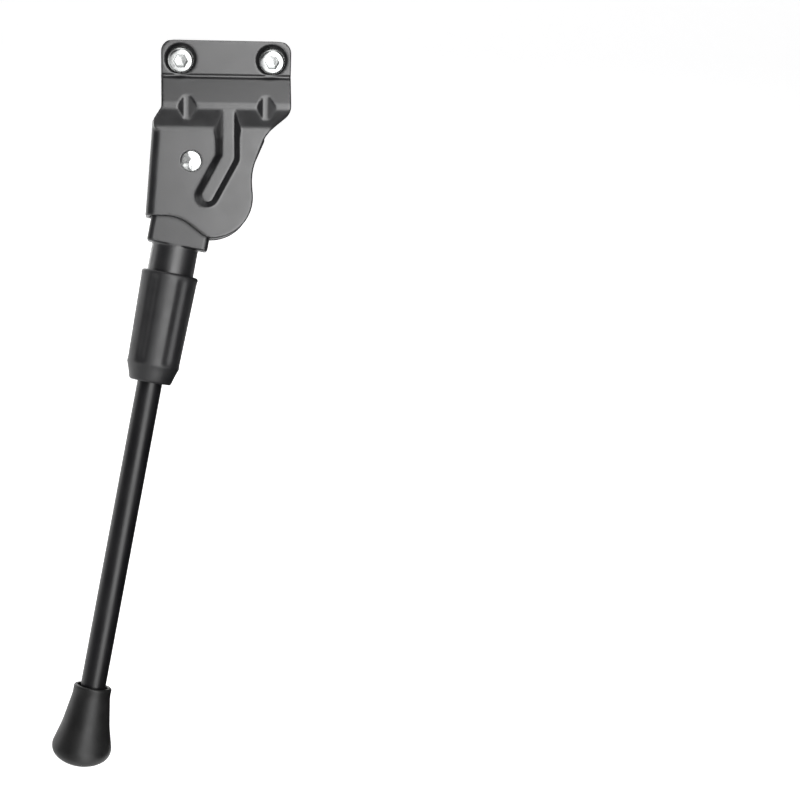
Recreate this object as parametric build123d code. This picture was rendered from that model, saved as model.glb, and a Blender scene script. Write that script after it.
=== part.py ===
from build123d import *
import os
from math import sin, cos, tan, atan2, radians, degrees, hypot

os.makedirs("parts", exist_ok=True)

# Bicycle kickstand. Everything is drawn in the box frame: pivot axis at the origin along z,
# x to the rear of the bicycle, y up along the box, z outboard. The finished pieces are then
# turned so that the mounting band stands upright with the bolt pattern centre at the origin.

# main sizes: pivot to the end of the foot, and pitch of the two mounting bolts
stand_reach = 275.6
bolt_pitch = 40.0

# sheet and box
sheet_t = 2.5
plate_gap = 22.4
web_dist = 18.4
web_tilt = 4.6
bend_out_r = 4.0

# flange, heights above the pivot
band_lean = 20.0
flange_centre = 15.6
flange_margin = 8.6
flange_top = 52.0
flange_width = bolt_pitch + 2 * flange_margin
bolt_height = 44.4
crease_height = 37.0
bend_height = 23.6
step_foot = 14.6
step_depth = 6.4
lower_lean = 13.0
score_width = 1.4
score_depth = 0.7
flange_corner_r = 5.0

# plate outline
lobe_right = 29.0
lobe_bottom = -34.1
lobe_r = 19.0
neck_x = 26.6
neck_y = -5.0
web_bottom = -22.9
web_top = 18.3
back_top = 19.6

# raised rib
rib_x = 16.3
rib_bend_y = 1.6
rib_end_x = 7.0
rib_end_y = -15.4
rib_height = 2.9
rib_crest = 5.6
rib_base = 10.2

# darts across the outer bend
dart_offset = 17.4
dart_floor = 2.6
dart_open = 9.6

# bolts
hole_d = 6.6
dimple_open = 13.8
dimple_seat = 12.0
dimple_depth = 1.3
bolt_d = 6.0
bolt_head_d = 11.2
bolt_head_h = 6.0
bolt_length = 20.0
socket_size = 5.0
socket_depth = 3.0
neck_d = 5.6

# pivot
rivet_d = 8.0
rivet_head_d = 9.6
rivet_head_h = 1.4
pivot_clear = 0.05
washer_t = 0.5
washer_d = 18.0

# leg
leg_tilt = 10.85
head_front = 12.9
head_rear = 14.4
head_depth = 21.2
head_end = 37.9
head_edge_r = 2.6
slot_width = 9.0
slot_end = 29.0
shank_d = 20.9
thread_d = 18.4
thread_top = 66.0
shank_end = 88.0
bore_d = 13.4
bore_top = 37.0

# spring
pin_d = 4.0
pin_dist = 22.0
spring_d = 7.4
wire_d = 1.5
spring_turns = 10
tab_height = 12.6
tab_reach = 8.2
tab_width = 8.0
tab_t = 2.5
tab_hole_d = 4.0
hook_x = -11.4

# sleeve and collet
sleeve_top = 50.4
sleeve_cone = 92.6
sleeve_end = 100.3
sleeve_d_top = 25.9
sleeve_d_low = 23.9
sleeve_d_end = 18.7
flute_count = 6
flute_r = 6.5
flute_depth = 0.8
collet_end = 97.6
collet_d = 18.2
collet_d_end = 14.4
collet_slit = 1.6

# rod and foot
rod_d = 11.3
rod_top = 54.0
rod_end = stand_reach - 10.0
guide_d = 13.3
guide_length = 12.0
foot_length = 34.7
foot_end = stand_reach
foot_top = stand_reach - foot_length
foot_d_top = 17.2
foot_d_waist = 21.6
foot_d_low = 28.0
foot_slant = 22.0
foot_mouth_d = 13.5
foot_mouth_depth = 2.0
sole_bevel = 40.0
ledge_width = 18.6
ledge_height = 5.0
ledge_reach = 6.0
ledge_lean = 20.0

# levels through the sheet
inner = plate_gap / 2
outer = inner + sheet_t
mid = inner + sheet_t / 2

# margin of the drawn sheet beyond the finished outline
beyond = 60.0


def thick_line(points, t):
    """closed outline of a bent sheet from its middle line, without bends"""
    left = []
    right = []
    for i, p in enumerate(points):
        before = points[max(i - 1, 0)]
        after = points[min(i + 1, len(points) - 1)]
        d1 = (p[0] - before[0], p[1] - before[1])
        d2 = (after[0] - p[0], after[1] - p[1])
        if i == 0:
            d1 = d2
        if i == len(points) - 1:
            d2 = d1
        n1 = (-d1[1] / hypot(*d1), d1[0] / hypot(*d1))
        n2 = (-d2[1] / hypot(*d2), d2[0] / hypot(*d2))
        k = 1 + n1[0] * n2[0] + n1[1] * n2[1]
        off = ((n1[0] + n2[0]) / k, (n1[1] + n2[1]) / k)
        left.append((p[0] + off[0] * t / 2, p[1] + off[1] * t / 2))
        right.append((p[0] - off[0] * t / 2, p[1] - off[1] * t / 2))
    return left, right


def prism(points, radii, z0, z1):
    """closed outline in the box plane, pulled from z0 to z1"""
    face = make_face(FilletPolyline(*points, radius=radii, close=True))
    return Pos(0, 0, z0) * extrude(face, amount=z1 - z0, dir=(0, 0, 1))


# middle line of the front sheet as height and outboard distance
bend_n = mid + step_depth
crease_n = bend_n - (crease_height - bend_height) * tan(radians(lower_lean))
top_n = crease_n + (flange_top - crease_height) * tan(radians(band_lean))
line = [
    (-beyond, mid),
    (step_foot, mid),
    (bend_height, bend_n),
    (crease_height, crease_n),
    (flange_top, top_n),
]
side_in, side_out = thick_line(line, sheet_t)
# left of an upward line is the inboard side when height is drawn along x
if side_in[1][1] > side_out[1][1]:
    side_in, side_out = side_out, side_in
profile = side_out + side_in[::-1]
radii = [0, 5.0, 4.0, 1.6, 0, 0, 4.6, 1.6, 2.5, 0]
profile_face = make_face(FilletPolyline(*[(p[1], p[0]) for p in profile], radius=radii, close=True))
# the drawing plane has the outboard distance across and the height up
side_plane = Plane(origin=(-beyond, 0, 0), x_dir=(0, 0, 1), z_dir=(1, 0, 0))
if side_plane.y_dir.Y < 0:
    side_plane = Plane(origin=(beyond, 0, 0), x_dir=(0, 0, 1), z_dir=(-1, 0, 0))
sheet = extrude(side_plane * profile_face, amount=2 * beyond)

# front outline: flange, shoulder to the web, lower edge, lobe, neck
fl = flange_centre - flange_width / 2
fr = flange_centre + flange_width / 2
outline = [
    (fl, flange_top + 5),
    (fl, 23.0),
    (fl - 3.4, web_top),
    (fl - 3.4, step_foot),
    (-12.4, step_foot - 2.6),
    (-14.4, web_bottom - 1.5),
    (-6.0, web_bottom - 1.2),
    (6.6, lobe_bottom),
    (lobe_right, lobe_bottom),
    (neck_x, neck_y),
    (33.4, 12.4),
    (fr, 21.0),
    (fr, flange_top + 5),
]
outline_r = [0, 3, 1.5, 1.5, 0, 0, 18, 6, lobe_r - 0.6, 26, 16, 6, 0]
front_cut = prism(outline, outline_r, 0, beyond)
front_sheet = sheet & front_cut

# rounded top corners of the mounting band
for x, sgn in ((fl, 1), (fr, -1)):
    corner = Box(flange_corner_r + 2, flange_corner_r + 4, beyond)
    corner = Pos(x + sgn * (flange_corner_r / 2 - 1), flange_top - flange_corner_r / 2 + 2, 20) * corner
    keep = Cylinder(flange_corner_r, beyond)
    keep = Pos(x + sgn * flange_corner_r, flange_top - flange_corner_r, 20) * keep
    front_sheet = front_sheet - (corner - keep)

# box folded round the web
web_in = -web_dist + sheet_t
u_points = [(beyond, outer), (-web_dist, outer), (-web_dist, -outer), (beyond, -outer)]
u_points += [(beyond, -inner), (web_in, -inner), (web_in, inner), (beyond, inner)]
bend_in_r = bend_out_r - sheet_t
u_face = make_face(
    FilletPolyline(*u_points, radius=[0, bend_out_r, bend_out_r, 0, 0, bend_in_r, bend_in_r, 0], close=True)
)
top_plane = Plane(origin=(0, beyond, 0), x_dir=(1, 0, 0), z_dir=(0, -1, 0))
u_box = Rot(0, 0, -web_tilt) * extrude(top_plane * u_face, amount=2 * beyond)
box_front = [
    (-40, web_top),
    (-40, web_bottom - 1.6),
    (-6.0, web_bottom - 1.2),
    (6.6, lobe_bottom),
    (lobe_right, lobe_bottom),
    (neck_x, neck_y),
    (neck_x, 4.0),
    (-8.0, 4.0),
    (-15.2, web_top),
]
box_front_r = [0, 0, 18, 6, lobe_r - 0.6, 0, 0, 0, 0]
back_outline = [
    (-40, back_top - 1.2),
    (-40, web_bottom - 1.6),
    (-6.0, web_bottom - 1.2),
    (6.6, lobe_bottom),
    (lobe_right, lobe_bottom),
    (neck_x, neck_y),
    (34.0, 11.6),
    (34.0, back_top),
    (-12.0, back_top),
]
back_r = [0, 0, 18, 6, lobe_r - 0.6, 26, 3, 3, 0]
box_part = u_box & prism(box_front, box_front_r, 0, beyond)
box_part += u_box & prism(back_outline, back_r, -beyond, 0)
bracket = front_sheet + box_part


# raised rib: straight runs joined by cones at the ends and at the bend
def ridge(a, b, crest, base, height, z0, z1=None):
    """run of a ridge with sloping sides from a to b, its foot at z0, rising to z1 at b"""
    z1 = z0 if z1 is None else z1
    start = Vector(a[0], a[1], z0)
    end = Vector(b[0], b[1], z1)
    way = end - start
    across = Vector(way.Y, -way.X, 0).normalized()
    plane = Plane(origin=start, x_dir=across, z_dir=way.normalized())
    up = 1 if plane.y_dir.Z > 0 else -1
    pts = [(-base / 2, 0), (base / 2, 0), (crest / 2, up * height), (-crest / 2, up * height)]
    return extrude(plane * make_face(Polyline(*pts, close=True)), amount=way.length)


def rib_body(z0):
    """the whole rib standing on the level z0"""
    bend = (rib_x, rib_bend_y)
    end = (rib_end_x, rib_end_y)
    body = ridge((rib_x, step_foot + 1), bend, rib_crest, rib_base, rib_height, z0)
    body += ridge(bend, end, rib_crest, rib_base, rib_height, z0)
    for p in (bend, end):
        round_end = Cone(rib_base / 2, rib_crest / 2, rib_height)
        body += Pos(p[0], p[1], z0 + rib_height / 2) * round_end
    return body


# the rib's upper run climbs onto the lower band
flank = (rib_base - rib_crest) / 2 / rib_height
climb_h = 4.4
climb_base = rib_crest + 2 * flank * climb_h
climb_end = bend_height + 1.2
climb_end_n = bend_n - 1.2 * tan(radians(lower_lean)) + sheet_t / 2 / cos(radians(lower_lean))
climb = ridge(
    (rib_x, 9.0),
    (rib_x, climb_end),
    rib_crest,
    climb_base,
    climb_h,
    outer + rib_height - climb_h - 0.3,
    climb_end_n - climb_h,
)
mid_line = [(p[1], p[0]) for p in line]
outboard_face = make_face(Polyline(*mid_line, (beyond, flange_top), (beyond, -beyond), close=True))
outboard_zone = extrude(side_plane * outboard_face, amount=2 * beyond)
bracket += rib_body(outer)
bracket += climb & outboard_zone
bracket -= rib_body(inner)
bracket -= Pos(0, 0, -sheet_t - 0.3) * climb

# darts: a trough pressed into the outer bend, standing as a rib on the inner side
low = (bend_height - 5.0, bend_n - 5.0 * step_depth / (bend_height - step_foot))
high = (bend_height + 4.6, bend_n - 4.6 * tan(radians(lower_lean)))
chord = Vector(0, high[0] - low[0], high[1] - low[1]).normalized()
inboard_dir = Vector(0, chord.Z, -chord.Y)
inboard_face = make_face(Polyline(*mid_line, (-beyond, flange_top), (-beyond, -beyond), close=True))
inboard_zone = extrude(side_plane * inboard_face, amount=2 * beyond)
for sgn in (-1, 1):
    base = Vector(flange_centre + sgn * dart_offset, (low[0] + high[0]) / 2, (low[1] + high[1]) / 2)
    floor_level = base - inboard_dir * (sheet_t / 2)
    dart_plane = Plane(origin=floor_level, x_dir=(1, 0, 0), z_dir=chord)
    out_sign = 1 if dart_plane.y_dir.dot(inboard_dir) < 0 else -1
    trough = [
        (-dart_floor / 2, 0),
        (dart_floor / 2, 0),
        (dart_open / 2 + 3, out_sign * 4.5),
        (-dart_open / 2 - 3, out_sign * 4.5),
    ]
    body = extrude(dart_plane * make_face(Polyline(*trough, close=True)), amount=12, both=True)
    bracket += (Pos(inboard_dir * sheet_t) * body) & inboard_zone
    bracket -= body

# score line pressed along the crease
crease_out = crease_n + sheet_t / 2
score = [
    (crease_height - score_width / 2, crease_out + 0.6),
    (crease_height, crease_out - score_depth),
    (crease_height + score_width / 2, crease_out + 0.6),
]
score_face = make_face(Polyline(*[(p[1], p[0]) for p in score], close=True))
bracket -= extrude(side_plane * score_face, amount=2 * beyond)

# bolt holes in pressed dimples
lean = radians(band_lean)
band_in = Vector(0, sin(lean), -cos(lean))
bolt_mid_n = crease_n + (bolt_height - crease_height) * tan(lean)
bolt_sheet = Vector(flange_centre, bolt_height, bolt_mid_n)
# dimple seat is outboard, boss face is inboard and is the mounting face
seat = bolt_sheet - band_in * (sheet_t / 2 - dimple_depth)
face_point = bolt_sheet + band_in * (sheet_t / 2 + dimple_depth)
bolt_places = []
for sgn in (-1, 1):
    shift = Vector(sgn * bolt_pitch / 2, 0, 0)
    plane = Plane(origin=bolt_sheet + shift, x_dir=(1, 0, 0), z_dir=band_in)
    bolt_places.append(plane)
    boss_d = dimple_seat + 1.0
    boss = Cone(boss_d / 2 + 1.7, boss_d / 2, dimple_depth + 0.4)
    boss = plane * (Pos(0, 0, sheet_t / 2 + dimple_depth / 2 - 0.2) * boss)
    dish = Cone(dimple_open / 2, dimple_seat / 2, dimple_depth)
    dish = plane * (Pos(0, 0, -sheet_t / 2 + dimple_depth / 2) * dish)
    bracket = bracket + boss - dish
    bracket -= plane * Cylinder(hole_d / 2, 20)

# pivot holes
bracket -= Cylinder(rivet_d / 2, 60)

# spring tab lanced from the web and bent inwards, leaving its window
web_x = -web_dist
tab_out = web_x + 1.0
tab_in = web_x + tab_reach + sheet_t
tab_body = Pos((tab_out + tab_in) / 2, tab_height, 0) * Box(tab_in - tab_out, tab_t, tab_width)
tab_body -= Pos(hook_x, tab_height, 0) * Rot(90, 0, 0) * Cylinder(tab_hole_d / 2, 10)
window = Pos(web_x + sheet_t / 2, tab_height - tab_t / 2 - 4.0, 0) * Box(8, 8.0, tab_width + 0.6)
bracket -= window
bracket += tab_body - (Pos(web_x - 4, tab_height, 0) * Box(8 + 1.6, 6, 20))
bracket = bracket.clean()

# mounting bolts: socket head cap screws, seated in the dimples, with a plain neck through the sheet
bolts = []
for plane in bolt_places:
    z_seat = -(sheet_t / 2 - dimple_depth)
    bolt = Pos(0, 0, z_seat - bolt_head_h / 2) * Cylinder(bolt_head_d / 2, bolt_head_h)
    bolt = chamfer(bolt.edges().filter_by(GeomType.CIRCLE).sort_by(Axis.Z)[:1], 0.6)
    z_face = sheet_t / 2 + dimple_depth
    z_tip = z_seat + bolt_length
    neck = Pos(0, 0, (z_seat + z_face) / 2) * Cylinder(neck_d / 2, z_face - z_seat)
    shank = Pos(0, 0, (z_face + z_tip) / 2) * Cylinder(bolt_d / 2, z_tip - z_face)
    shank = chamfer(shank.edges().filter_by(GeomType.CIRCLE).sort_by(Axis.Z)[-1:], 0.6)
    hexagon = RegularPolygon(socket_size / 2, 6, major_radius=False)
    socket = Pos(0, 0, z_seat - bolt_head_h) * extrude(hexagon, amount=socket_depth)
    bolts.append(plane * (bolt + neck + shank - socket))

# pivot rivets: head outside the plate, shank as the trunnion of one cheek
cheek_in = slot_width / 2 + 0.2
rivets = []
for sgn in (1, -1):
    shank = Pos(0, 0, (cheek_in + outer) / 2) * Cylinder(rivet_d / 2, outer - cheek_in)
    head = Pos(0, 0, outer + rivet_head_h / 2) * Cylinder(rivet_head_d / 2, rivet_head_h)
    head = fillet(head.edges().filter_by(GeomType.CIRCLE).sort_by(Axis.Z)[-1:], 0.7)
    rivet = shank + head
    rivets.append(rivet if sgn > 0 else Rot(180, 0, 0) * rivet)
for x, y in ((2.1, 0.9), (-1.6, -1.2)):
    rivets[1] -= Pos(x, y, -outer - rivet_head_h) * Sphere(0.9)

# washers between the plates and the cheeks
washer = Pos(0, 0, inner - washer_t / 2) * (
    Cylinder(washer_d / 2, washer_t) - Cylinder(rivet_d / 2 + 0.1, washer_t)
)
washers = [washer, Rot(180, 0, 0) * washer]

# leg head, drawn upright with the leg running down along -y, then tilted
block_face = make_face(
    FilletPolyline(
        (-head_front, head_front),
        (head_rear, head_front),
        (head_rear, -head_end),
        (-head_front, -head_end),
        radius=[head_front - 0.02, head_front - 0.02, 0, 0],
        close=True,
    )
)
block = Pos(0, 0, -head_depth / 2) * extrude(block_face, amount=head_depth, dir=(0, 0, 1))
long_edges = block.edges().filter_by(Axis.Y)
block = fillet(long_edges, head_edge_r)
block = fillet(block.edges().filter_by(Axis.X).sort_by(Axis.Y)[:2], 0.6)
down = Rot(90, 0, 0)
shank_y0 = -(head_end - 1.0)
plain = Cylinder(shank_d / 2, thread_top + shank_y0)
head = block + Pos(0, (shank_y0 - thread_top) / 2, 0) * down * plain
thread = Cylinder(thread_d / 2, shank_end - thread_top + 0.5)
head += Pos(0, -(thread_top - 0.5 + shank_end) / 2, 0) * down * thread
bore = Cylinder(bore_d / 2, shank_end - bore_top)
head -= Pos(0, -(bore_top + shank_end) / 2, 0) * down * bore
head -= Pos(0, (20 - slot_end) / 2, 0) * Box(60, 20 + slot_end, slot_width)
head -= Cylinder(rivet_d / 2 + pivot_clear, 60)
head -= Pos(0, -pin_dist, 0) * Cylinder(pin_d / 2, head_depth - 3.0)
spring_pin = Pos(0, -pin_dist, 0) * Cylinder(pin_d / 2, head_depth - 3.0)

# clamp sleeve: fluted nut that draws the collet's cone shut
sleeve_line = [
    (shank_d / 2 + 0.3, -sleeve_top),
    (sleeve_d_top / 2 - 0.7, -sleeve_top),
    (sleeve_d_top / 2, -sleeve_top - 1.2),
    (sleeve_d_low / 2, -sleeve_cone),
    (sleeve_d_end / 2, -sleeve_end),
    (rod_d / 2 + 0.5, -sleeve_end),
    (rod_d / 2 + 0.5, -collet_end - 0.1),
    (collet_d_end / 2 + 0.05, -collet_end - 0.1),
    (collet_d / 2 + 0.05, -shank_end - 0.2),
    (thread_d / 2 + 0.1, -shank_end - 0.2),
    (thread_d / 2 + 0.1, -thread_top - 0.6),
    (shank_d / 2 + 0.3, -thread_top - 0.6),
]
sleeve = revolve(make_face(Polyline(*sleeve_line, close=True)), Axis.Y)
flute_top_r = sleeve_d_top / 2 + flute_r - flute_depth
flute_low_r = sleeve_d_low / 2 + flute_r - flute_depth
flute_lean = degrees(atan2(flute_top_r - flute_low_r, sleeve_cone - sleeve_top))
flute_len = sleeve_cone - sleeve_top - 5.0
flute = Rot(90, 0, 0) * Cylinder(flute_r, flute_len)
flute += Pos(0, flute_len / 2, 0) * Sphere(flute_r)
flute += Pos(0, -flute_len / 2, 0) * Sphere(flute_r)
flute_mid = Pos((flute_top_r + flute_low_r) / 2, -(sleeve_top + sleeve_cone) / 2, 0)
flute = flute_mid * Rot(0, 0, -flute_lean) * flute
for i in range(flute_count):
    sleeve -= Rot(0, i * 360 / flute_count, 0) * flute

# split collet between the shank end and the sleeve's cone
collet_line = [
    (rod_d / 2 + 0.03, -shank_end - 0.3),
    (collet_d / 2 - 0.25, -shank_end - 0.3),
    (collet_d_end / 2 - 0.25, -collet_end),
    (rod_d / 2 + 0.03, -collet_end),
]
collet = revolve(make_face(Polyline(*collet_line, close=True)), Axis.Y)
collet -= Pos(10, -(shank_end + collet_end) / 2, 0) * Box(20, 20, collet_slit)

# rod with its guide bush and the foot
rod = Pos(0, -(rod_top + rod_end) / 2, 0) * down * Cylinder(rod_d / 2, rod_end - rod_top)
rod = chamfer(rod.edges().filter_by(GeomType.CIRCLE), 0.6)
guide_c = rod_top + 2.0 + guide_length / 2
guide = Cylinder(guide_d / 2, guide_length) - Cylinder(rod_d / 2, guide_length)
guide = Pos(0, -guide_c, 0) * down * guide

foot_line = [
    (0, -foot_top),
    (foot_d_top / 2, -foot_top),
    (foot_d_top / 2 - 0.1, -foot_top - 4.0),
    (foot_d_waist / 2, -foot_end + 17.0),
    (foot_d_low / 2, -foot_end + 5.5),
    (foot_d_low / 2, -foot_end - 10),
    (0, -foot_end - 10),
]
foot_r = [0, 0.6, 14, 40, 8, 0, 0]
foot = revolve(make_face(FilletPolyline(*foot_line, radius=foot_r, close=True)), Axis.Y)
# the sole is cut on a slant, longer outboard
cutter = Pos(0, -foot_d_low, 0) * Box(3 * foot_d_low, 2 * foot_d_low, 3 * foot_d_low)
sole_end = Pos(0, -foot_end, foot_d_low / 2 - 3.5)
foot -= sole_end * Rot(foot_slant, 0, 0) * cutter
sole = foot.faces().filter_by(GeomType.PLANE).sort_by(Axis.Y)[0]
foot = fillet(sole.edges(), 3.0)
# flat bevel on the short inboard edge of the sole
edge_z = -(foot_d_low / 2 - 1.7)
edge_y = -foot_end + (foot_d_low / 2 - 3.5 - edge_z) * tan(radians(foot_slant))
foot -= Pos(0, edge_y + 1.6, edge_z) * Rot(90 - sole_bevel, 0, 0) * cutter
# moulded ledge across the inboard side, above the bevel
ledge = Box(ledge_width, ledge_height, ledge_reach)
ledge = fillet(ledge.edges(), 1.2)
ledge_y = -foot_end + 10.6 + ledge_height / 2
foot += Pos(0, ledge_y, -foot_d_low / 2 + 4.7) * Rot(ledge_lean, 0, 0) * ledge
# socket for the rod, with a wider mouth
foot -= Pos(0, -(foot_top + rod_end) / 2, 0) * down * Cylinder(rod_d / 2, rod_end - foot_top)
mouth = Cylinder(foot_mouth_d / 2, 2 * foot_mouth_depth)
foot -= Pos(0, -foot_top, 0) * down * mouth

# toggle spring from the web tab to the cross pin, coils between two hooks
tilt = Rot(0, 0, -leg_tilt)
pin_at = tilt * Pos(0, -pin_dist, 0)
pin_v = Vector(pin_at.position.X, pin_at.position.Y, 0)
# the top hook's crown stands in the tab hole, the lower eye goes round the pin
crown = Vector(hook_x, tab_height + tab_t / 2 + 1.0, 0)
axis_dir = (pin_v - crown).normalized()
eye_r = pin_d / 2 + wire_d / 2 + 0.15
span = (pin_v - crown).length
coil_h = span - eye_r - 10.2
pitch = coil_h / spring_turns
coil_r = (spring_d - wire_d) / 2
spring_plane = Plane(origin=crown, x_dir=(0, 0, 1), z_dir=axis_dir)
coil = Pos(0, 0, 6.4) * Helix(pitch, coil_h, coil_r)
coil_start = coil @ 0
coil_way = (coil % 0).normalized()
section = Plane(origin=coil_start, z_dir=coil_way) * Circle(wire_d / 2)
spring = sweep(section, path=coil, is_frenet=True)


def bar(a, b, r):
    """round bar from a to b"""
    a = Vector(a)
    b = Vector(b)
    long = (b - a).length
    return Plane(origin=a, z_dir=b - a) * (Pos(0, 0, long / 2) * Cylinder(r, long))


hook_r = wire_d / 2 - 0.05
top_z = (coil @ 0).Z
low_z = (coil @ 1).Z
side = coil @ 0
side_low = coil @ 1
# upper hook: across from the coil, up through the tab hole and bent over its edge
upper = bar((side.X * 1.05, side.Y * 1.05, top_z + 0.1), (0, 0, top_z - 0.5), hook_r)
upper += bar((0, 0, top_z - 0.1), (0, 0, 0), hook_r)
upper += Sphere(hook_r + 0.02)
upper += bar((0, 0, 0), (3.6, 0, 0), hook_r)
# lower eye: ring round the pin, joined to the last coil
lower = bar((side_low.X * 1.05, side_low.Y * 1.05, low_z - 0.1), (0, 0, low_z + 0.5), hook_r)
lower += bar((0, 0, low_z + 0.1), (0, 0, span - eye_r + 0.1), hook_r)
lower += Pos(0, 0, span) * (Rot(0, 90, 0) * Torus(eye_r, wire_d / 2))
spring = spring_plane * (spring + upper + lower)

# place everything in the row frame
turn = Rot(90 - band_lean, 0, 0)
origin = turn * Pos(face_point.X, face_point.Y, face_point.Z)
place = Pos(-origin.position.X, -origin.position.Y, -origin.position.Z) * turn
leg_place = place * tilt

still = {
    "mounting_bracket": bracket,
    "mount_bolt_front": bolts[0],
    "mount_bolt_rear": bolts[1],
    "pivot_rivet_outer": rivets[0],
    "pivot_rivet_inner": rivets[1],
    "pivot_washer_outer": washers[0],
    "pivot_washer_inner": washers[1],
    "toggle_spring": spring,
}
leg = {
    "leg_head": head,
    "spring_pin": spring_pin,
    "clamp_sleeve": sleeve,
    "clamp_collet": collet,
    "lower_rod": rod,
    "rod_guide": guide,
    "foot": foot,
}
for name, shape in still.items():
    export_step(place * shape, "parts/" + name + ".step")
for name, shape in leg.items():
    export_step(leg_place * shape, "parts/" + name + ".step")
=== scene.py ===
from math import cos, pi, radians, sin, tau

import bmesh
import bpy
from mathutils import Matrix, Vector


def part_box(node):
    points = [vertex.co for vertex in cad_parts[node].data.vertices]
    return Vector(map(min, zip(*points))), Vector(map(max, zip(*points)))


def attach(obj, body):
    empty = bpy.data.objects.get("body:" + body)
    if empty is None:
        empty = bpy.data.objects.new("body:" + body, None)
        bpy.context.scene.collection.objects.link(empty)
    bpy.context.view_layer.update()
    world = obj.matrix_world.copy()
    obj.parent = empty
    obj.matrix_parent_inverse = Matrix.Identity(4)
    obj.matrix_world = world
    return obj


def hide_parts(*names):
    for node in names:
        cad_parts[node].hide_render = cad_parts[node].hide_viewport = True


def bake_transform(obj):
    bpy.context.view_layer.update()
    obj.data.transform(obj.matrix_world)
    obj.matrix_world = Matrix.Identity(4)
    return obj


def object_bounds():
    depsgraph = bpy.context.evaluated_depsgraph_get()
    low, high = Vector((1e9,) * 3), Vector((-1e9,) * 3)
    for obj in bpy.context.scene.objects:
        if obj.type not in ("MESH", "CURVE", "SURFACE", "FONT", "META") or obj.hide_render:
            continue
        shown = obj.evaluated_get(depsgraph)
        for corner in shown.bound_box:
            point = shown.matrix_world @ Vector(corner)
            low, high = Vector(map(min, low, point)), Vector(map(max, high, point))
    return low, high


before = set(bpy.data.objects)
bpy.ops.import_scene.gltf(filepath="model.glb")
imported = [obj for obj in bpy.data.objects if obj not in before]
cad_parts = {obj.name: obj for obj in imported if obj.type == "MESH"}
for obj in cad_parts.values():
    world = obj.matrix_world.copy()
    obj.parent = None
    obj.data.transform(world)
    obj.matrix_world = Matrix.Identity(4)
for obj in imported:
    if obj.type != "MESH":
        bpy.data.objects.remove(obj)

cad_box = [list(corner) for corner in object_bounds()]

# Mounting bracket. One 2.5 mm steel sheet, pressed with a rib, a step and two darts, then folded into a
# box for the leg and a leaning band for the bolts. It is dipped in satin black paint, which rounds every
# edge a little.


def soft_edged(node, name, axes, grid, passes):
    """Copy of a CAD piece with an even skin laid along its own axes and its edges rounded over."""
    own_axes = Matrix(axes).to_4x4()
    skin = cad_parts[node].data.copy()
    joined = bmesh.new()
    joined.from_mesh(skin)
    bmesh.ops.remove_doubles(joined, verts=joined.verts, dist=2e-6)
    joined.to_mesh(skin)
    joined.free()
    skin.transform(own_axes)
    piece = bpy.data.objects.new(name, skin)
    bpy.context.scene.collection.objects.link(piece)
    even = piece.modifiers.new("even skin", "REMESH")
    even.mode = "VOXEL"
    even.voxel_size = grid
    even.use_smooth_shade = True
    rounding = piece.modifiers.new("rounded edges", "SMOOTH")
    rounding.factor = 0.5
    rounding.iterations = passes
    bpy.context.view_layer.update()
    done = bpy.data.meshes.new_from_object(piece.evaluated_get(bpy.context.evaluated_depsgraph_get()))
    piece.modifiers.clear()
    piece.data = done
    done.materials.clear()
    done.transform(own_axes.inverted())
    return piece


def mottled(name, dark, pale, rough, patch, grain, relief, metal=0.0, gloss=0.5):
    """Material of two close tones in soft patches, with roughness that follows them and a fine grain."""
    made = bpy.data.materials.new(name)
    made.use_nodes = True
    tree = made.node_tree
    shader = tree.nodes["Principled BSDF"]
    shader.inputs["Metallic"].default_value = metal
    shader.inputs["Specular IOR Level"].default_value = gloss
    place = tree.nodes.new("ShaderNodeTexCoord")
    clouds = tree.nodes.new("ShaderNodeTexNoise")
    clouds.inputs["Scale"].default_value = 1 / patch
    clouds.inputs["Detail"].default_value = 4.0
    clouds.inputs["Roughness"].default_value = 0.6
    tree.links.new(place.outputs["Object"], clouds.inputs["Vector"])
    tone = tree.nodes.new("ShaderNodeValToRGB")
    tone.color_ramp.elements[0].position = 0.32
    tone.color_ramp.elements[0].color = (*dark, 1)
    tone.color_ramp.elements[1].position = 0.70
    tone.color_ramp.elements[1].color = (*pale, 1)
    tree.links.new(clouds.outputs["Fac"], tone.inputs["Fac"])
    tree.links.new(tone.outputs["Color"], shader.inputs["Base Color"])
    dullness = tree.nodes.new("ShaderNodeMapRange")
    dullness.inputs["From Min"].default_value = 0.3
    dullness.inputs["From Max"].default_value = 0.7
    dullness.inputs["To Min"].default_value = rough[0]
    dullness.inputs["To Max"].default_value = rough[1]
    tree.links.new(clouds.outputs["Fac"], dullness.inputs["Value"])
    tree.links.new(dullness.outputs["Result"], shader.inputs["Roughness"])
    fine = tree.nodes.new("ShaderNodeTexNoise")
    fine.inputs["Scale"].default_value = 1 / grain
    fine.inputs["Detail"].default_value = 3.0
    tree.links.new(place.outputs["Object"], fine.inputs["Vector"])
    bump = tree.nodes.new("ShaderNodeBump")
    bump.inputs["Strength"].default_value = 0.5
    bump.inputs["Distance"].default_value = relief
    tree.links.new(fine.outputs["Fac"], bump.inputs["Height"])
    tree.links.new(bump.outputs["Normal"], shader.inputs["Normal"])
    return made


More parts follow.
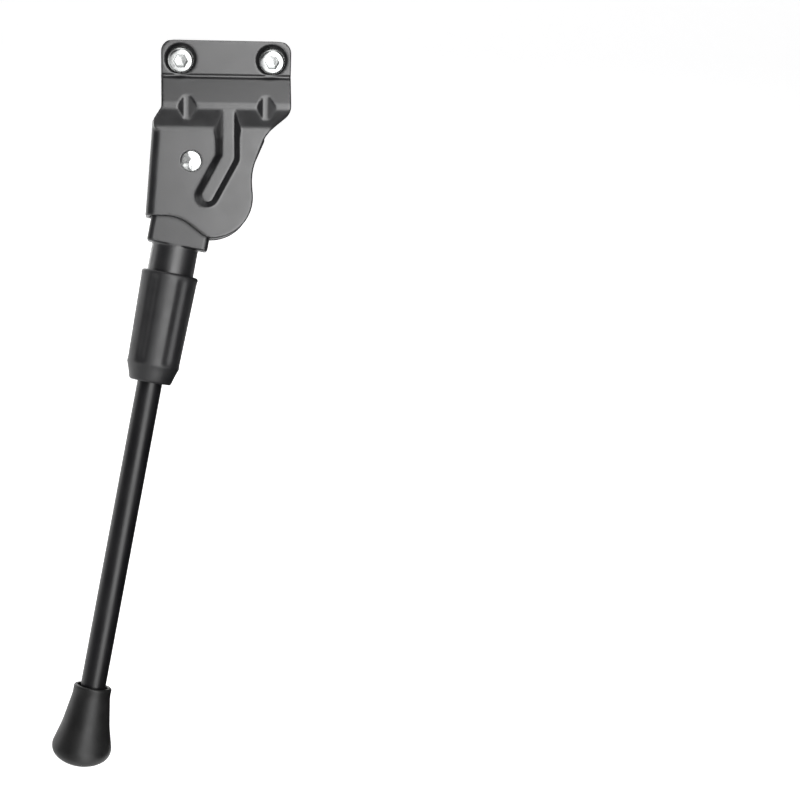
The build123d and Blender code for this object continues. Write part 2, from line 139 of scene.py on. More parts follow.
dipped_paint = mottled(
    "dipped satin black paint",
    dark=(0.008, 0.008, 0.009),
    pale=(0.013, 0.013, 0.014),
    rough=(0.31, 0.39),
    patch=0.009,
    grain=0.0007,
    relief=0.00002,
    gloss=1.0,
)
pivot = Vector((-0.0156, -0.000399, -0.048033))
rear = Vector((1, 0, 0))
upward = Vector((0, 0.34202, 0.939693))
outward = Vector((0, -0.939693, 0.34202))
plate_axes = (rear, upward, outward)
crease_up, crease_half, crease_deep = 0.037, 0.0011, 0.0005
bracket = soft_edged("mounting_bracket", "pressed_bracket", plate_axes, grid=0.00045, passes=6)
for v in bracket.data.vertices:
    off = ((v.co - pivot).dot(upward) - crease_up) / crease_half
    if abs(off) < 1 and v.normal.dot(outward) > 0.3:
        v.co -= outward * crease_deep * (1 - off * off) ** 2
bracket.data.materials.append(dipped_paint)
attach(bracket, "bracket")
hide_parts("mounting_bracket")

# Mounting bolts. Two M6 socket head cap screws, 20 mm under the head, bright zinc plated. They sit in the
# pressed dimples of the band with their knurled heads outboard, and their threads stand out behind.


def turned(name, outline, around, place, closed=False):
    """Turned piece: (radius, station) along its axis, where a radius may also be a function of the angle."""
    shape = bmesh.new()
    rows = []
    for radius, station in outline:
        if radius == 0:
            rows.append([shape.verts.new(place(0, 0, station))])
            continue
        row = []
        for k in range(around):
            angle = tau * k / around
            r = radius(angle) if callable(radius) else radius
            row.append(shape.verts.new(place(r * cos(angle), r * sin(angle), station)))
        rows.append(row)
    following = rows[1:] + ([rows[0]] if closed else [])
    for one, two in zip(rows, following):
        for k in range(around):
            j = (k + 1) % around
            if len(one) == 1:
                shape.faces.new((one[0], two[j], two[k]))
            elif len(two) == 1:
                shape.faces.new((one[k], one[j], two[0]))
            else:
                shape.faces.new((one[k], one[j], two[j], two[k]))
    bmesh.ops.recalc_face_normals(shape, faces=shape.faces)
    skin = bpy.data.meshes.new(name)
    shape.to_mesh(skin)
    shape.free()
    skin.shade_smooth()
    skin.set_sharp_from_angle(angle=radians(38))
    piece = bpy.data.objects.new(name, skin)
    bpy.context.scene.collection.objects.link(piece)
    return piece


def new_tree(name, sizes):
    """Empty geometry tree with a geometry input, the named sizes and a material."""
    tree = bpy.data.node_groups.new(name, "GeometryNodeTree")
    tree.interface.new_socket("Geometry", in_out="INPUT", socket_type="NodeSocketGeometry")
    for label, kind in sizes:
        tree.interface.new_socket(label, in_out="INPUT", socket_type=kind)
    tree.interface.new_socket("Finish", in_out="INPUT", socket_type="NodeSocketMaterial")
    tree.interface.new_socket("Geometry", in_out="OUTPUT", socket_type="NodeSocketGeometry")
    return tree, tree.nodes.new("NodeGroupInput"), tree.nodes.new("NodeGroupOutput")


def run_tree(piece, tree, values):
    """Runs a geometry tree on a piece with the given input values and leaves a plain mesh."""
    work = piece.modifiers.new(tree.name, "NODES")
    work.node_group = tree
    for socket in tree.interface.items_tree:
        if socket.in_out == "INPUT" and socket.name in values:
            work[socket.identifier] = values[socket.name]
    bpy.context.view_layer.update()
    done = bpy.data.meshes.new_from_object(piece.evaluated_get(bpy.context.evaluated_depsgraph_get()))
    piece.modifiers.clear()
    piece.data = done


zinc = mottled(
    "bright zinc plate",
    dark=(0.38, 0.39, 0.39),
    pale=(0.52, 0.53, 0.52),
    rough=(0.22, 0.36),
    patch=0.0016,
    grain=0.0003,
    relief=0.000012,
    metal=1.0,
)
head_r, head_h = 0.00547, 0.006
key_half, key_depth = 0.0025, 0.003
neck_r, neck_end = 0.0028, 0.0085
core_r, tip_r, bolt_len = 0.00262, 0.0021, 0.026

bolt_tree, sizes_in, made_out = new_tree(
    "bolt thread and knurl",
    [
        ("Thread turns", "NodeSocketFloat"),
        ("Thread radius", "NodeSocketFloat"),
        ("Thread start", "NodeSocketFloat"),
        ("Thread length", "NodeSocketFloat"),
        ("Ridge", "NodeSocketFloat"),
        ("Knurl count", "NodeSocketInt"),
        ("Knurl radius", "NodeSocketFloat"),
        ("Knurl start", "NodeSocketFloat"),
        ("Knurl length", "NodeSocketFloat"),
        ("Knurl height", "NodeSocketFloat"),
    ],
)
helix = bolt_tree.nodes.new("GeometryNodeCurveSpiral")
helix.inputs["Resolution"].default_value = 28
bolt_tree.links.new(sizes_in.outputs["Thread turns"], helix.inputs["Rotations"])
bolt_tree.links.new(sizes_in.outputs["Thread radius"], helix.inputs["Start Radius"])
bolt_tree.links.new(sizes_in.outputs["Thread radius"], helix.inputs["End Radius"])
bolt_tree.links.new(sizes_in.outputs["Thread length"], helix.inputs["Height"])
crest = bolt_tree.nodes.new("GeometryNodeCurvePrimitiveCircle")
crest.inputs["Resolution"].default_value = 4
bolt_tree.links.new(sizes_in.outputs["Ridge"], crest.inputs["Radius"])
wound = bolt_tree.nodes.new("GeometryNodeCurveToMesh")
wound.inputs["Fill Caps"].default_value = True
bolt_tree.links.new(helix.outputs["Curve"], wound.inputs["Curve"])
bolt_tree.links.new(crest.outputs["Curve"], wound.inputs["Profile Curve"])
rise = bolt_tree.nodes.new("ShaderNodeCombineXYZ")
bolt_tree.links.new(sizes_in.outputs["Thread start"], rise.inputs["Z"])
lifted = bolt_tree.nodes.new("GeometryNodeTransform")
bolt_tree.links.new(wound.outputs["Mesh"], lifted.inputs["Geometry"])
bolt_tree.links.new(rise.outputs["Vector"], lifted.inputs["Translation"])
ring = bolt_tree.nodes.new("GeometryNodeMeshCircle")
bolt_tree.links.new(sizes_in.outputs["Knurl count"], ring.inputs["Vertices"])
bolt_tree.links.new(sizes_in.outputs["Knurl radius"], ring.inputs["Radius"])
tooth = bolt_tree.nodes.new("GeometryNodeMeshCone")
tooth.inputs["Vertices"].default_value = 6
bolt_tree.links.new(sizes_in.outputs["Knurl height"], tooth.inputs["Radius Top"])
bolt_tree.links.new(sizes_in.outputs["Knurl height"], tooth.inputs["Radius Bottom"])
bolt_tree.links.new(sizes_in.outputs["Knurl length"], tooth.inputs["Depth"])
row_of_teeth = bolt_tree.nodes.new("GeometryNodeInstanceOnPoints")
bolt_tree.links.new(ring.outputs["Mesh"], row_of_teeth.inputs["Points"])
bolt_tree.links.new(tooth.outputs["Mesh"], row_of_teeth.inputs["Instance"])
teeth_rise = bolt_tree.nodes.new("ShaderNodeCombineXYZ")
bolt_tree.links.new(sizes_in.outputs["Knurl start"], teeth_rise.inputs["Z"])
teeth = bolt_tree.nodes.new("GeometryNodeTransform")
bolt_tree.links.new(row_of_teeth.outputs["Instances"], teeth.inputs["Geometry"])
bolt_tree.links.new(teeth_rise.outputs["Vector"], teeth.inputs["Translation"])
whole = bolt_tree.nodes.new("GeometryNodeJoinGeometry")
for part in (sizes_in.outputs["Geometry"], lifted.outputs["Geometry"], teeth.outputs["Geometry"]):
    bolt_tree.links.new(part, whole.inputs["Geometry"])
solid = bolt_tree.nodes.new("GeometryNodeRealizeInstances")
bolt_tree.links.new(whole.outputs["Geometry"], solid.inputs["Geometry"])
plated = bolt_tree.nodes.new("GeometryNodeSetMaterial")
bolt_tree.links.new(solid.outputs["Geometry"], plated.inputs["Geometry"])
bolt_tree.links.new(sizes_in.outputs["Finish"], plated.inputs["Material"])
bolt_tree.links.new(plated.outputs["Geometry"], made_out.inputs["Geometry"])


def hexagon(half):
    """Radius of a six sided hole, by its half width across flats."""
    return lambda angle: half / cos((angle % (pi / 3)) - pi / 6)


def upright(x, y, station):
    """Point of a piece that is turned on the z axis and set in its place later."""
    return Vector((x, y, station))


for node in ("mount_bolt_front", "mount_bolt_rear"):
    low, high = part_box(node)
    bolt = turned(
        node.replace("mount", "socket"),
        [
            (0, key_depth + 0.0006),
            (hexagon(key_half * 0.6), key_depth),
            (hexagon(key_half), key_depth),
            (hexagon(key_half), 0.0003),
            (hexagon(key_half + 0.00028), 0),
            (head_r - 0.00107, 0),
            (head_r - 0.00047, 0.00014),
            (head_r - 0.00007, 0.0006),
            (head_r, 0.0011),
            (head_r, head_h - 0.0003),
            (head_r - 0.00027, head_h),
            (neck_r, head_h),
            (neck_r, neck_end),
            (core_r, neck_end + 0.0002),
            (core_r, bolt_len - 0.0006),
            (tip_r, bolt_len),
            (0, bolt_len),
        ],
        around=72,
        place=upright,
    )
    run_tree(
        bolt,
        bolt_tree,
        {
            "Thread turns": 16.0,
            "Thread radius": core_r - 0.00006,
            "Thread start": neck_end + 0.0006,
            "Thread length": 0.016,
            "Ridge": 0.00042,
            "Knurl count": 48,
            "Knurl radius": head_r - 0.0001,
            "Knurl start": 0.0015,
            "Knurl length": head_h - 0.0023,
            "Knurl height": 0.00021,
            "Finish": zinc,
        },
    )
    middle = (low + high) / 2
    seat = Matrix(((1, 0, 0, middle.x), (0, 0, 1, low.y), (0, -1, 0, middle.z), (0, 0, 0, 1)))
    bolt.data.transform(seat)
    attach(bolt, "bracket")
    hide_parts(node)

# Pivot rivets. Two zinc plated shoulder rivets carry the leg, one through each plate. The outboard head is
# peened over by hand, the inboard one keeps two small press marks.
peened = soft_edged("pivot_rivet_outer", "peened_rivet", plate_axes, grid=0.00018, passes=4)
head_top = max((v.co - pivot).dot(outward) for v in peened.data.vertices)
rivet_r, rim_h, dome_drop = 0.0048, 0.0011, 0.0005
# place along and up the plate, radius and depth of each mark
hammer_marks = [
    (0.0021, -0.0019, 0.0030, 0.00028),
    (-0.0026, 0.0012, 0.0026, 0.00015),
    (0.0012, 0.0031, 0.0024, 0.00015),
    (-0.0016, -0.0032, 0.0023, 0.00024),
]
for v in peened.data.vertices:
    away = v.co - pivot
    if away.dot(outward) < head_top - rim_h:
        continue
    sunk = dome_drop * (away.dot(rear) ** 2 + away.dot(upward) ** 2) / rivet_r ** 2
    for along, up, mark_r, mark_depth in hammer_marks:
        off = ((away.dot(rear) - along) ** 2 + (away.dot(upward) - up) ** 2) / mark_r ** 2
        if off < 1:
            sunk += mark_depth * (1 - off)
    v.co -= outward * sunk
pressed = soft_edged("pivot_rivet_inner", "pressed_rivet", plate_axes, grid=0.00018, passes=3)
for rivet, node in ((peened, "pivot_rivet_outer"), (pressed, "pivot_rivet_inner")):
    rivet.data.materials.append(zinc)
    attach(rivet, "bracket")
    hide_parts(node)

# Pivot washers. Thin nylon discs between each plate and the leg, punched from sheet and left natural grey.
# The rivets hold them.
nylon = mottled(
    "worn grey nylon",
    dark=(0.10, 0.10, 0.10),
    pale=(0.17, 0.17, 0.165),
    rough=(0.45, 0.60),
    patch=0.004,
    grain=0.0004,
    relief=0.00001,
)
for node in ("pivot_washer_outer", "pivot_washer_inner"):
    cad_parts[node].material_slots[0].material = nylon

# Leg head. Forked aluminium casting with a round shank, turned and threaded at its lower end for the clamp
# sleeve. It is painted satin black like the bracket and swings on the two rivets.
cast_paint = mottled(
    "satin black paint on cast metal",
    dark=(0.007, 0.007, 0.008),
    pale=(0.012, 0.012, 0.013),
    rough=(0.36, 0.45),
    patch=0.012,
    grain=0.0011,
    relief=0.00004,
    gloss=0.95,
)
leg_down = Vector((-0.188238, -0.335906, -0.922894))
leg_side = outward.cross(leg_down).normalized()
leg_axes = (leg_side, -leg_down, outward)
leg_head = soft_edged("leg_head", "cast_leg_head", leg_axes, grid=0.00042, passes=4)
leg_head.data.materials.append(cast_paint)
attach(leg_head, "leg")
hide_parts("leg_head")

# Spring pin and toggle spring. A steel dowel across the fork and an extension spring of oiled wire from it to
# the tab lanced out of the web. The spring pulls the leg over centre, up or down.
spring_wire = mottled(
    "oiled spring wire",
    dark=(0.20, 0.20, 0.21),
    pale=(0.32, 0.32, 0.33),
    rough=(0.28, 0.42),
    patch=0.003,
    grain=0.0003,
    relief=0.00001,
    metal=1.0,
)
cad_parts["spring_pin"].material_slots[0].material = spring_wire

spring_tree, spring_in, spring_out = new_tree(
    "coil and hooks",
    [
        ("Turns", "NodeSocketFloat"),
        ("Coil radius", "NodeSocketFloat"),
        ("Coil start", "NodeSocketFloat"),
        ("Coil length", "NodeSocketFloat"),
        ("Wire radius", "NodeSocketFloat"),
    ],
)
winding = spring_tree.nodes.new("GeometryNodeCurveSpiral")
winding.inputs["Resolution"].default_value = 30
spring_tree.links.new(spring_in.outputs["Turns"], winding.inputs["Rotations"])
spring_tree.links.new(spring_in.outputs["Coil radius"], winding.inputs["Start Radius"])
spring_tree.links.new(spring_in.outputs["Coil radius"], winding.inputs["End Radius"])
spring_tree.links.new(spring_in.outputs["Coil length"], winding.inputs["Height"])
down_to_start = spring_tree.nodes.new("ShaderNodeCombineXYZ")
spring_tree.links.new(spring_in.outputs["Coil start"], down_to_start.inputs["Z"])
set_down = spring_tree.nodes.new("GeometryNodeTransform")
spring_tree.links.new(winding.outputs["Curve"], set_down.inputs["Geometry"])
spring_tree.links.new(down_to_start.outputs["Vector"], set_down.inputs["Translation"])
hook_paths = spring_tree.nodes.new("GeometryNodeMeshToCurve")
spring_tree.links.new(spring_in.outputs["Geometry"], hook_paths.inputs["Mesh"])
one_wire = spring_tree.nodes.new("GeometryNodeJoinGeometry")
spring_tree.links.new(set_down.outputs["Geometry"], one_wire.inputs["Geometry"])
spring_tree.links.new(hook_paths.outputs["Curve"], one_wire.inputs["Geometry"])
wire_round = spring_tree.nodes.new("GeometryNodeCurvePrimitiveCircle")
wire_round.inputs["Resolution"].default_value = 14
spring_tree.links.new(spring_in.outputs["Wire radius"], wire_round.inputs["Radius"])
drawn = spring_tree.nodes.new("GeometryNodeCurveToMesh")
drawn.inputs["Fill Caps"].default_value = True
spring_tree.links.new(one_wire.outputs["Geometry"], drawn.inputs["Curve"])
spring_tree.links.new(wire_round.outputs["Curve"], drawn.inputs["Profile Curve"])
spring_solid = spring_tree.nodes.new("GeometryNodeRealizeInstances")
spring_tree.links.new(drawn.outputs["Mesh"], spring_solid.inputs["Geometry"])
oiled = spring_tree.nodes.new("GeometryNodeSetMaterial")
spring_tree.links.new(spring_solid.outputs["Geometry"], oiled.inputs["Geometry"])
spring_tree.links.new(spring_in.outputs["Finish"], oiled.inputs["Material"])
spring_tree.links.new(oiled.outputs["Geometry"], spring_out.inputs["Geometry"])

tab_ahead, tab_up, pin_below = 0.0114, 0.01485, 0.022
crown = pivot - rear * tab_ahead + upward * tab_up
pin = pivot + leg_down * pin_below
pull = (pin - crown).normalized()
span = (pin - crown).length
coil_r, wire_r, eye_r, eye_neck = 0.00295, 0.00072, 0.0029, 0.0038
coil_start = 0.0064
coil_end = span - eye_r - eye_neck
# wire from the coil's edge in to its axis, as distance from the axis and distance past the coil
bend_in = [(coil_r, 0.0), (0.0026, 0.0005), (0.0018, 0.0010)]
bend_in += [(0.0008, 0.0014), (0.0002, 0.0019), (0.0, 0.0026)]
upper_hook = [(x, 0, coil_start - s) for x, s in bend_in]
upper_hook += [(0, 0, 0.0010), (0.00015, 0, 0.00045), (0.0005, 0, 0.0001), (0.0010, 0, 0), (0.0036, 0, 0)]
lower_eye = [(x, 0, coil_end + s) for x, s in bend_in]
for degree in range(0, 337, 12):
    turn = radians(degree)
    lower_eye.append((0, eye_r * sin(turn), span - eye_r * cos(turn)))
paths = bpy.data.meshes.new("spring_hooks")
links = [(i, i + 1) for i in range(len(upper_hook) - 1)]
links += [(len(upper_hook) + i, len(upper_hook) + i + 1) for i in range(len(lower_eye) - 1)]
paths.from_pydata(upper_hook + lower_eye, links, [])
spring = bpy.data.objects.new("extension_spring", paths)
bpy.context.scene.collection.objects.link(spring)
run_tree(
    spring,
    spring_tree,
    {
        "Turns": 10.0,
        "Coil radius": coil_r,
        "Coil start": coil_start,
        "Coil length": coil_end - coil_start,
        "Wire radius": wire_r,
        "Finish": spring_wire,
    },
)
across = pull.cross(outward)
for v in spring.data.vertices:
    v.co = crown + outward * v.co.x + across * v.co.y + pull * v.co.z
spring.data.shade_smooth()
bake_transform(spring)
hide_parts("toggle_spring")

# Clamp sleeve. Moulded black plastic nut on the shank's thread, with six soft finger flutes that run out
# before a smooth cone. Turning it draws the cone down on the split collet.


def on_leg(across, out, station):
    """Point by its distances from the leg's axis and its station below the pivot."""
    return pivot + leg_side * across + outward * out + leg_down * station


flute_tree, flute_in, flute_out = new_tree(
    "finger flutes",
    [
        ("Flute count", "NodeSocketFloat"),
        ("Flute half width", "NodeSocketFloat"),
        ("Flute depth", "NodeSocketFloat"),
        ("Flute top", "NodeSocketFloat"),
        ("Flute foot", "NodeSocketFloat"),
        ("Run out", "NodeSocketFloat"),
        ("Bore radius", "NodeSocketFloat"),
    ],
)


def maths(kind, *terms):
    """Maths node of the flute tree on outlets or plain numbers."""
    node = flute_tree.nodes.new("ShaderNodeMath")
    node.operation = kind
    for socket, value in zip(node.inputs, terms):
        if isinstance(value, (int, float)):
            socket.default_value = value
        else:
            flute_tree.links.new(value, socket)
    return node.outputs[0]


where = flute_tree.nodes.new("GeometryNodeInputPosition")
xyz = flute_tree.nodes.new("ShaderNodeSeparateXYZ")
flute_tree.links.new(where.outputs["Position"], xyz.inputs["Vector"])
angle = maths("ARCTAN2", xyz.outputs["Y"], xyz.outputs["X"])
half_pitch = maths("DIVIDE", pi, flute_in.outputs["Flute count"])
from_flute = maths("PINGPONG", angle, half_pitch)
scoop = flute_tree.nodes.new("ShaderNodeMapRange")
scoop.interpolation_type = "SMOOTHSTEP"
flute_tree.links.new(from_flute, scoop.inputs["Value"])
flute_tree.links.new(flute_in.outputs["Flute half width"], scoop.inputs["From Max"])
scoop.inputs["From Min"].default_value = 0.0
scoop.inputs["To Min"].default_value = 1.0
scoop.inputs["To Max"].default_value = 0.0
hollow = scoop.outputs["Result"]
square = maths("ADD", maths("POWER", xyz.outputs["X"], 2.0), maths("POWER", xyz.outputs["Y"], 2.0))
from_axis = maths("SQRT", square)
outside = maths("GREATER_THAN", from_axis, flute_in.outputs["Bore radius"])


def run_in(start, far):
    """Smooth step along the sleeve from one station to another."""
    node = flute_tree.nodes.new("ShaderNodeMapRange")
    node.interpolation_type = "SMOOTHSTEP"
    flute_tree.links.new(xyz.outputs["Z"], node.inputs["Value"])
    flute_tree.links.new(start, node.inputs["From Min"])
    flute_tree.links.new(far, node.inputs["From Max"])
    return node.outputs["Result"]


flute_top, flute_foot = flute_in.outputs["Flute top"], flute_in.outputs["Flute foot"]
top_in = run_in(flute_top, maths("ADD", flute_top, flute_in.outputs["Run out"]))
foot_out = run_in(maths("SUBTRACT", flute_foot, flute_in.outputs["Run out"]), flute_foot)
along = maths("MULTIPLY", top_in, maths("SUBTRACT", 1.0, foot_out))
depth = maths(
    "MULTIPLY",
    maths("MULTIPLY", maths("MULTIPLY", hollow, along), outside),
    maths("MULTIPLY", flute_in.outputs["Flute depth"], -1.0),
)
flat = flute_tree.nodes.new("ShaderNodeCombineXYZ")
flute_tree.links.new(maths("DIVIDE", xyz.outputs["X"], from_axis), flat.inputs["X"])
flute_tree.links.new(maths("DIVIDE", xyz.outputs["Y"], from_axis), flat.inputs["Y"])
push = flute_tree.nodes.new("ShaderNodeVectorMath")
push.operation = "SCALE"
flute_tree.links.new(flat.outputs["Vector"], push.inputs[0])
flute_tree.links.new(depth, push.inputs["Scale"])
fluted = flute_tree.nodes.new("GeometryNodeSetPosition")
flute_tree.links.new(flute_in.outputs["Geometry"], fluted.inputs["Geometry"])
flute_tree.links.new(push.outputs["Vector"], fluted.inputs["Offset"])
sleeve_solid = flute_tree.nodes.new("GeometryNodeRealizeInstances")
flute_tree.links.new(fluted.outputs["Geometry"], sleeve_solid.inputs["Geometry"])
coloured = flute_tree.nodes.new("GeometryNodeSetMaterial")
flute_tree.links.new(sleeve_solid.outputs["Geometry"], coloured.inputs["Geometry"])
flute_tree.links.new(flute_in.outputs["Finish"], coloured.inputs["Material"])
flute_tree.links.new(coloured.outputs["Geometry"], flute_out.inputs["Geometry"])

sleeve_plastic = mottled(
    "moulded black plastic",
    dark=(0.007, 0.007, 0.008),
    pale=(0.012, 0.012, 0.013),
    rough=(0.44, 0.54),
    patch=0.010,
    grain=0.0005,
    relief=0.000015,
    gloss=0.8,
)
sleeve_top, cone_top, sleeve_end = 0.0504, 0.0926, 0.1003
bore_r, top_r, low_r, rod_hole_r = 0.01075, 0.01295, 0.01195, 0.00615
thread_r, thread_start, seat_top, seat_end = 0.0093, 0.0666, 0.0882, 0.0977
outline = [(bore_r, sleeve_top), (top_r - 0.0010, sleeve_top), (top_r - 0.0006, sleeve_top + 0.0002)]
outline += [(top_r - 0.0002, sleeve_top + 0.0006)]
steps = 44
for i in range(steps + 1):
    t = i / steps
    outline.append((top_r + (low_r - top_r) * t, sleeve_top + 0.0012 + (cone_top - sleeve_top - 0.0018) * t))
outline += [(0.01185, cone_top), (0.0116, cone_top + 0.0006), (0.01055, cone_top + 0.0036)]
outline += [(0.0097, sleeve_end - 0.0010), (0.0094, sleeve_end - 0.0004), (0.0090, sleeve_end)]
outline += [(rod_hole_r, sleeve_end), (rod_hole_r, seat_end), (0.00725, seat_end), (0.00915, seat_top)]
outline += [(thread_r, seat_top), (thread_r, thread_start), (bore_r, thread_start)]
sleeve = turned("clamp_nut", outline, around=160, place=upright, closed=True)
run_tree(
    sleeve,
    flute_tree,
    {
        "Flute count": 6.0,
        "Flute half width": radians(15),
        "Flute depth": 0.0006,
        "Flute top": sleeve_top + 0.0004,
        "Flute foot": cone_top + 0.0004,
        "Run out": 0.0034,
        "Bore radius": bore_r + 0.0004,
        "Finish": sleeve_plastic,
    },
)
for v in sleeve.data.vertices:
    v.co = on_leg(*v.co)
sleeve_skin = bmesh.new()
sleeve_skin.from_mesh(sleeve.data)
bmesh.ops.recalc_face_normals(sleeve_skin, faces=sleeve_skin.faces)
sleeve_skin.to_mesh(sleeve.data)
sleeve_skin.free()
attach(sleeve, "sleeve")
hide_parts("clamp_sleeve")

# Collet and guide bush. Split nylon collet under the sleeve's cone, and a nylon bush on the rod's top end
# that runs in the bore of the shank. Both are hidden once the leg is together.
for node in ("clamp_collet", "rod_guide"):
    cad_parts[node].material_slots[0].material = nylon

# Lower rod. Drawn aluminium bar with turned ends, anodised glossy black. It slides in the leg and is held by
# the collet.
black_anodised = mottled(
    "glossy black anodising",
    dark=(0.004, 0.004, 0.005),
    pale=(0.007, 0.007, 0.008),
    rough=(0.33, 0.40),
    patch=0.015,
    grain=0.0005,
    relief=0.000008,
)
rod_r, rod_top, rod_end, rod_edge = 0.00565, 0.054, 0.2656, 0.0006
steps = 24
rod_outline = [(0, rod_top), (rod_r - rod_edge, rod_top)]
for i in range(steps + 1):
    rod_outline.append((rod_r, rod_top + rod_edge + (rod_end - rod_top - 2 * rod_edge) * i / steps))
rod_outline += [(rod_r - rod_edge, rod_end), (0, rod_end)]
rod = turned("sliding_rod", rod_outline, around=72, place=on_leg)
rod.data.materials.append(black_anodised)
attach(rod, "rod")
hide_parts("lower_rod")

# Foot. Moulded rubber boot pushed over the rod's end, flared to the sole, with a thin rim round its mouth.
# The sole is cut on a slant so that it stands flat when the bicycle leans on it.
boot_rubber = mottled(
    "matt moulded rubber",
    dark=(0.007, 0.007, 0.007),
    pale=(0.012, 0.012, 0.012),
    rough=(0.42, 0.52),
    patch=0.007,
    grain=0.0004,
    relief=0.00004,
)
boot = soft_edged("foot", "rubber_boot", leg_axes, grid=0.0004, passes=4)
boot.data.materials.append(boot_rubber)
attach(boot, "rod")
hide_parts("foot")

# Studio. White paper lies just below the foot of the drawn out rod, runs far out on all sides, rises behind
# the stand and has a low rim. It shows as plain white and keeps the stand's soft shadow. Black cards on the
# floor and to the right keep the shaded sides of the stand dark, and stay out of the picture.
ground = cad_box[0][2]
rod_travel = 0.020
paper_level = ground - rod_travel
paper_half, paper_back, paper_bend, paper_top, rim_top = 12.0, 2.4, 0.8, 6.0, 1.2
bend_start = paper_back - paper_bend
profile = [(-paper_half, 0.0), (0.0, 0.0), (bend_start, 0.0)]
for degree in range(10, 91, 10):
    turn = radians(degree)
    profile.append((bend_start + paper_bend * sin(turn), paper_bend - paper_bend * cos(turn)))
profile.append((paper_back, paper_top))
sweep_shape = bmesh.new()
edges_of_paper = []
for y, z in profile:
    sides = [sweep_shape.verts.new((x, y, paper_level + z)) for x in (-paper_half, paper_half)]
    edges_of_paper.append(sides)
for one, two in zip(edges_of_paper, edges_of_paper[1:]):
    sweep_shape.faces.new((one[0], one[1], two[1], two[0]))
rim = [(-paper_half, paper_back), (-paper_half, -paper_half)]
rim += [(paper_half, -paper_half), (paper_half, paper_back)]
rim_foot = [sweep_shape.verts.new((x, y, paper_level)) for x, y in rim]
rim_edge = [sweep_shape.verts.new((x, y, paper_level + rim_top)) for x, y in rim]
for i in range(3):
    sweep_shape.faces.new((rim_foot[i], rim_foot[i + 1], rim_edge[i + 1], rim_edge[i]))
sweep_skin = bpy.data.meshes.new("paper_sweep")
sweep_shape.to_mesh(sweep_skin)
sweep_shape.free()
sweep_skin.shade_smooth()
paper = bpy.data.objects.new("paper_sweep", sweep_skin)
bpy.context.scene.collection.objects.link(paper)
white_paper = bpy.data.materials.new("white paper")
white_paper.use_nodes = True
tree = white_paper.node_tree
paper_shader = tree.nodes["Principled BSDF"]
paper_shader.inputs["Base Color"].default_value = (0.85, 0.85, 0.85, 1)
paper_shader.inputs["Roughness"].default_value = 0.9
paper_shader.inputs["Specular IOR Level"].default_value = 0.0
lit = tree.nodes.new("ShaderNodeEmission")
lit.inputs["Strength"].default_value = 0.88
seen = tree.nodes.new("ShaderNodeLightPath")
gloss_too = tree.nodes.new("ShaderNodeMath")
gloss_too.operation = "MAXIMUM"
glass_too = tree.nodes.new("ShaderNodeMath")
glass_too.operation = "MAXIMUM"
tree.links.new(seen.outputs["Is Camera Ray"], gloss_too.inputs[0])
tree.links.new(seen.outputs["Is Glossy Ray"], gloss_too.inputs[1])
tree.links.new(gloss_too.outputs["Value"], glass_too.inputs[0])
tree.links.new(seen.outputs["Is Transmission Ray"], glass_too.inputs[1])
shown = tree.nodes.new("ShaderNodeMixShader")
both = tree.nodes.new("ShaderNodeAddShader")
tree.links.new(paper_shader.outputs["BSDF"], both.inputs[0])
tree.links.new(lit.outputs["Emission"], both.inputs[1])
tree.links.new(glass_too.outputs["Value"], shown.inputs["Fac"])
tree.links.new(paper_shader.outputs["BSDF"], shown.inputs[1])
tree.links.new(both.outputs["Shader"], shown.inputs[2])
tree.links.new(shown.outputs["Shader"], tree.nodes["Material Output"].inputs["Surface"])
paper.data.materials.append(white_paper)

card_level = ground + 0.002
card_black = bpy.data.materials.new("black card")
card_black.use_nodes = True
card_shader = card_black.node_tree.nodes["Principled BSDF"]
card_shader.inputs["Base Color"].default_value = (0.01, 0.01, 0.01, 1)
card_shader.inputs["Roughness"].default_value = 0.9


def black_card(name, corners):
    """Matt black card by its corners, kept out of the picture and casting no shadow."""
    sheet = bpy.data.meshes.new(name)
    sheet.from_pydata(corners, [], [(0, 1, 2, 3)])
    sheet.materials.append(card_black)
    card = bpy.data.objects.new(name, sheet)
    card.visible_camera = False
    card.visible_shadow = False
    card.visible_diffuse = False
    bpy.context.scene.collection.objects.link(card)


def floor_card(name, left, right, near, far):
    """Black card lying level with the foot, by its sides."""
    corners = [(left, near), (right, near), (right, far), (left, far)]
    black_card(name, [(x, y, card_level) for x, y in corners])


def wall_card(name, one, two, top):
    """Black card standing between two points, up to a height."""
    black_card(name, [(*one, card_level), (*two, card_level), (*two, top), (*one, top)])


floor_card("front_card", -0.5, 0.5, -0.42, -0.13)
floor_card("foot_floor_card", -0.05, 0.45, -0.13, 0.08)
wall_card("low_card", (-0.04, 0.08), (0.45, 0.08), card_level + 0.1)
floor_card("far_floor_card", -0.03, 0.45, 0.35, 0.9)
wall_card("right_card", (0.45, -0.45), (0.30, 1.2), 0.6)

room = bpy.data.worlds.new("dim room")
room.use_nodes = True
room.node_tree.nodes["Background"].inputs["Color"].default_value = (0.08, 0.08, 0.083, 1)
room.node_tree.nodes["Background"].inputs["Strength"].default_value = 1.0
bpy.context.scene.world = room


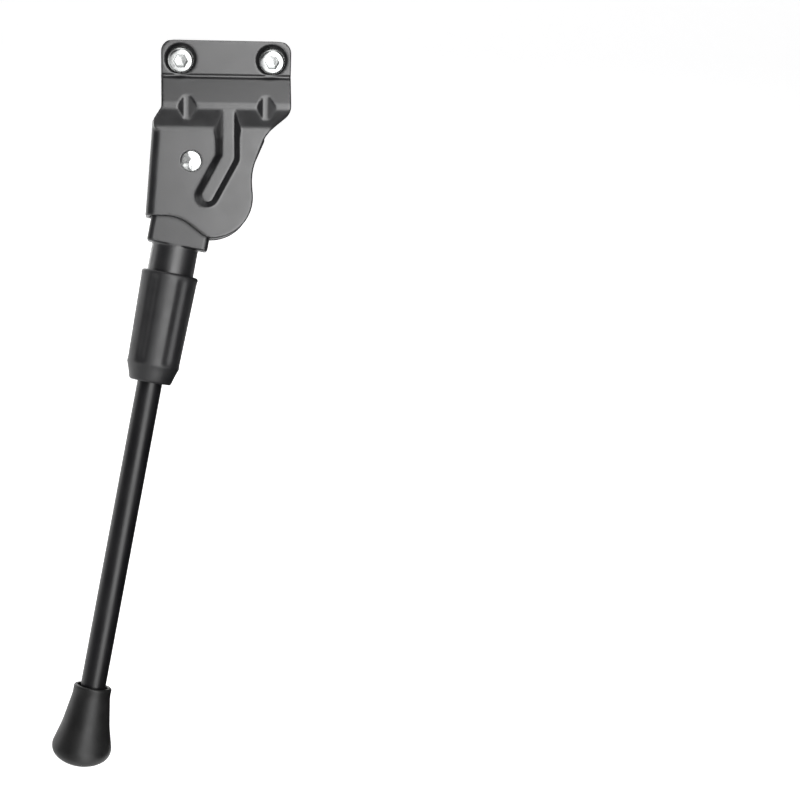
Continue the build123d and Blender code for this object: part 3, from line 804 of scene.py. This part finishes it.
def soft_box(name, place, aim, width, height, power):
    """Rectangular soft light at a place, turned to a point and kept out of the picture."""
    lamp = bpy.data.lights.new(name, "AREA")
    lamp.shape = "RECTANGLE"
    lamp.size, lamp.size_y, lamp.energy = width, height, power
    holder = bpy.data.objects.new(name, lamp)
    holder.location = place
    holder.rotation_euler = (aim - place).to_track_quat("-Z", "Y").to_euler()
    holder.visible_camera = False
    bpy.context.scene.collection.objects.link(holder)


leg_middle = pivot - upward * 0.10
front_place = leg_middle + outward * 0.62 + rear * 0.19 + upward * 0.05
left_place = leg_middle - outward * 0.30 - rear * 0.75
back_place = leg_middle - outward * 0.75 - rear * 0.35 + upward * 0.25
top_place = leg_middle + Vector((0, 0.35, 1.0))
soft_box("front box", front_place, leg_middle, width=0.42, height=0.95, power=5.6)
soft_box("left strip", left_place, leg_middle, width=0.16, height=0.80, power=0.6)
soft_box("back box", back_place, leg_middle, width=0.5, height=0.6, power=2.5)
soft_box("top box", top_place, leg_middle, width=0.7, height=0.7, power=3.0)

# Camera. Square to the side plates, 0.8 m in front of the pivot, turned a little to the right so that the
# stand falls in the left of the frame.
picture_pixels, focal_pixels = 800, 1750
lens = bpy.data.cameras.new("camera")
lens.sensor_width = 36.0
lens.lens = lens.sensor_width * focal_pixels / picture_pixels
lens.clip_start, lens.clip_end = 0.01, 20
camera = bpy.data.objects.new("camera", lens)
yaw, pitch = 0.1315, -0.0463
ahead = rear * (sin(yaw) * cos(pitch)) + upward * sin(pitch) - outward * (cos(yaw) * cos(pitch))
right = ahead.cross(upward).normalized()
above = right.cross(ahead)
stand = pivot - rear * 0.01045 - upward * 0.0701 + outward * 0.8
camera.matrix_world = Matrix(
    (
        (right.x, above.x, -ahead.x, stand.x),
        (right.y, above.y, -ahead.y, stand.y),
        (right.z, above.z, -ahead.z, stand.z),
        (0, 0, 0, 1),
    )
)
bpy.context.scene.collection.objects.link(camera)
bpy.context.scene.camera = camera
bpy.context.scene.view_settings.view_transform = "Standard"
